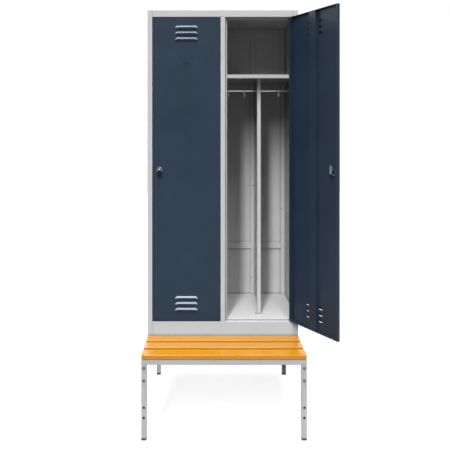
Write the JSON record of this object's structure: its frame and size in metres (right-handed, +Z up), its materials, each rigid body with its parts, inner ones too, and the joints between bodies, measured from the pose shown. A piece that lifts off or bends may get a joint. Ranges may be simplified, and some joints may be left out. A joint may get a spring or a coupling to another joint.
{
  "type": "locker with bench",
  "caption": "Two-person steel clothes locker on a square-tube frame that reaches forward as a slatted bench, with louvred doors, hat shelves, partitions and coat rails.",
  "frame": {"origin": "centre of the underside of the front left foot", "axes": "+X to the right seen from the front, +Y to the back, +Z up"},
  "size_m": [0.9519, 0.7993, 2.14],
  "materials": {
    "grey_paint": "light grey powder coat, smooth, satin",
    "door_paint": "dark blue-grey powder coat, smooth, satin",
    "slat_lacquer": "yellow-orange lacquer over smooth hardwood, glossy",
    "black_plastic": "black moulded plastic, matte",
    "lock_chrome": "bright chrome plate",
    "dark_steel": "blackened bolt steel, satin",
    "zinc_plate": "zinc plated steel, satin"
  },
  "bodies": {
    "cabinet": {"left_side_panel": "grey_paint", "right_side_panel": "grey_paint", "top_panel": "grey_paint", "floor_panel": "grey_paint", "plinth_front": "grey_paint", "back_panel": "grey_paint", "centre_post": "grey_paint", "middle_wall": "grey_paint", "left_back_stiffener": "grey_paint", "left_back_rail": "grey_paint", "left_hat_shelf": "grey_paint", "left_partition": "grey_paint", "left_coat_rail": "zinc_plate", "left_door_upper_pin": "zinc_plate", "left_door_lower_pin": "zinc_plate", "right_back_stiffener": "grey_paint", "right_back_rail": "grey_paint", "right_hat_shelf": "grey_paint", "right_partition": "grey_paint", "right_coat_rail": "zinc_plate", "right_door_upper_pin": "zinc_plate", "right_door_lower_pin": "zinc_plate", "front_frame_rail": "grey_paint", "rear_frame_rail": "grey_paint", "left_frame_rail": "grey_paint", "right_frame_rail": "grey_paint", "cross_frame_rail": "grey_paint", "front_left_leg": "grey_paint", "front_left_foot": "black_plastic", "front_right_leg": "grey_paint", "front_right_foot": "black_plastic", "rear_left_leg": "grey_paint", "rear_left_foot": "black_plastic", "rear_right_leg": "grey_paint", "rear_right_foot": "black_plastic", "front_slat": "slat_lacquer", "middle_slat": "slat_lacquer", "rear_slat": "slat_lacquer"},
    "left_door": {"left_door": "door_paint", "left_door_stiffener": "door_paint", "left_lock_body": "lock_chrome", "left_lock_nut": "zinc_plate"},
    "left_lock_core": {"left_lock_plug": "lock_chrome", "left_lock_cam": "zinc_plate", "left_lock_key": "zinc_plate"},
    "left_key_bow": {"left_lock_key_bow": "black_plastic"},
    "right_door": {"right_door": "door_paint", "right_door_stiffener": "door_paint", "right_lock_body": "lock_chrome", "right_lock_nut": "zinc_plate"},
    "right_lock_core": {"right_lock_plug": "lock_chrome", "right_lock_cam": "zinc_plate", "right_lock_key": "zinc_plate"},
    "right_key_bow": {"right_lock_key_bow": "black_plastic"},
    "left_hook_1": {"left_hook_1": "zinc_plate"},
    "left_hook_2": {"left_hook_2": "zinc_plate"},
    "left_hook_3": {"left_hook_3": "zinc_plate"},
    "right_hook_1": {"right_hook_1": "zinc_plate"},
    "right_hook_2": {"right_hook_2": "zinc_plate"},
    "right_hook_3": {"right_hook_3": "zinc_plate"}
  },
  "joints": [
    {"name": "left_door_hinge", "type": "hinge", "parent": "cabinet", "child": "left_door", "pos_m": [0.3655, 0.2555, 0.4895], "axis": [0, 0, 1], "range_deg": [0, 120]},
    {"name": "left_lock_turn", "type": "hinge", "parent": "left_door", "child": "left_lock_core", "pos_m": [0.0515, 0.2505, 1.2945], "axis": [0, -1, 0], "range_deg": [0, 90]},
    {"name": "left_key_fold", "type": "hinge", "parent": "left_lock_core", "child": "left_key_bow", "pos_m": [0.0515, 0.2389, 1.2945], "axis": [-1, 0, 0], "range_deg": [0, 90]},
    {"name": "right_door_hinge", "type": "hinge", "parent": "cabinet", "child": "right_door", "pos_m": [0.7525, 0.2555, 0.4895], "axis": [0, 0, 1], "range_deg": [-121.5, 1.5]},
    {"name": "right_lock_turn", "type": "hinge", "parent": "right_door", "child": "right_lock_core", "pos_m": [0.92083, -0.00962, 1.2945], "axis": [0.8526, 0.5225, 0], "range_deg": [0, 90]},
    {"name": "right_key_fold", "type": "hinge", "parent": "right_lock_core", "child": "right_key_bow", "pos_m": [0.93072, -0.00356, 1.2945], "axis": [0.5225, -0.8526, 0], "range_deg": [0, 90]},
    {"name": "left_hook_1_slide", "type": "slide", "parent": "cabinet", "child": "left_hook_1", "axis": [1, 0, 0], "range_m": [-0.03, 0.041]},
    {"name": "left_hook_2_slide", "type": "slide", "parent": "cabinet", "child": "left_hook_2", "axis": [1, 0, 0], "range_m": [-0.041, 0.074]},
    {"name": "left_hook_3_slide", "type": "slide", "parent": "cabinet", "child": "left_hook_3", "axis": [1, 0, 0], "range_m": [-0.108, 0.068]},
    {"name": "right_hook_1_slide", "type": "slide", "parent": "cabinet", "child": "right_hook_1", "axis": [1, 0, 0], "range_m": [-0.03, 0.041]},
    {"name": "right_hook_2_slide", "type": "slide", "parent": "cabinet", "child": "right_hook_2", "axis": [1, 0, 0], "range_m": [-0.041, 0.074]},
    {"name": "right_hook_3_slide", "type": "slide", "parent": "cabinet", "child": "right_hook_3", "axis": [1, 0, 0], "range_m": [-0.108, 0.068]}
  ]
}
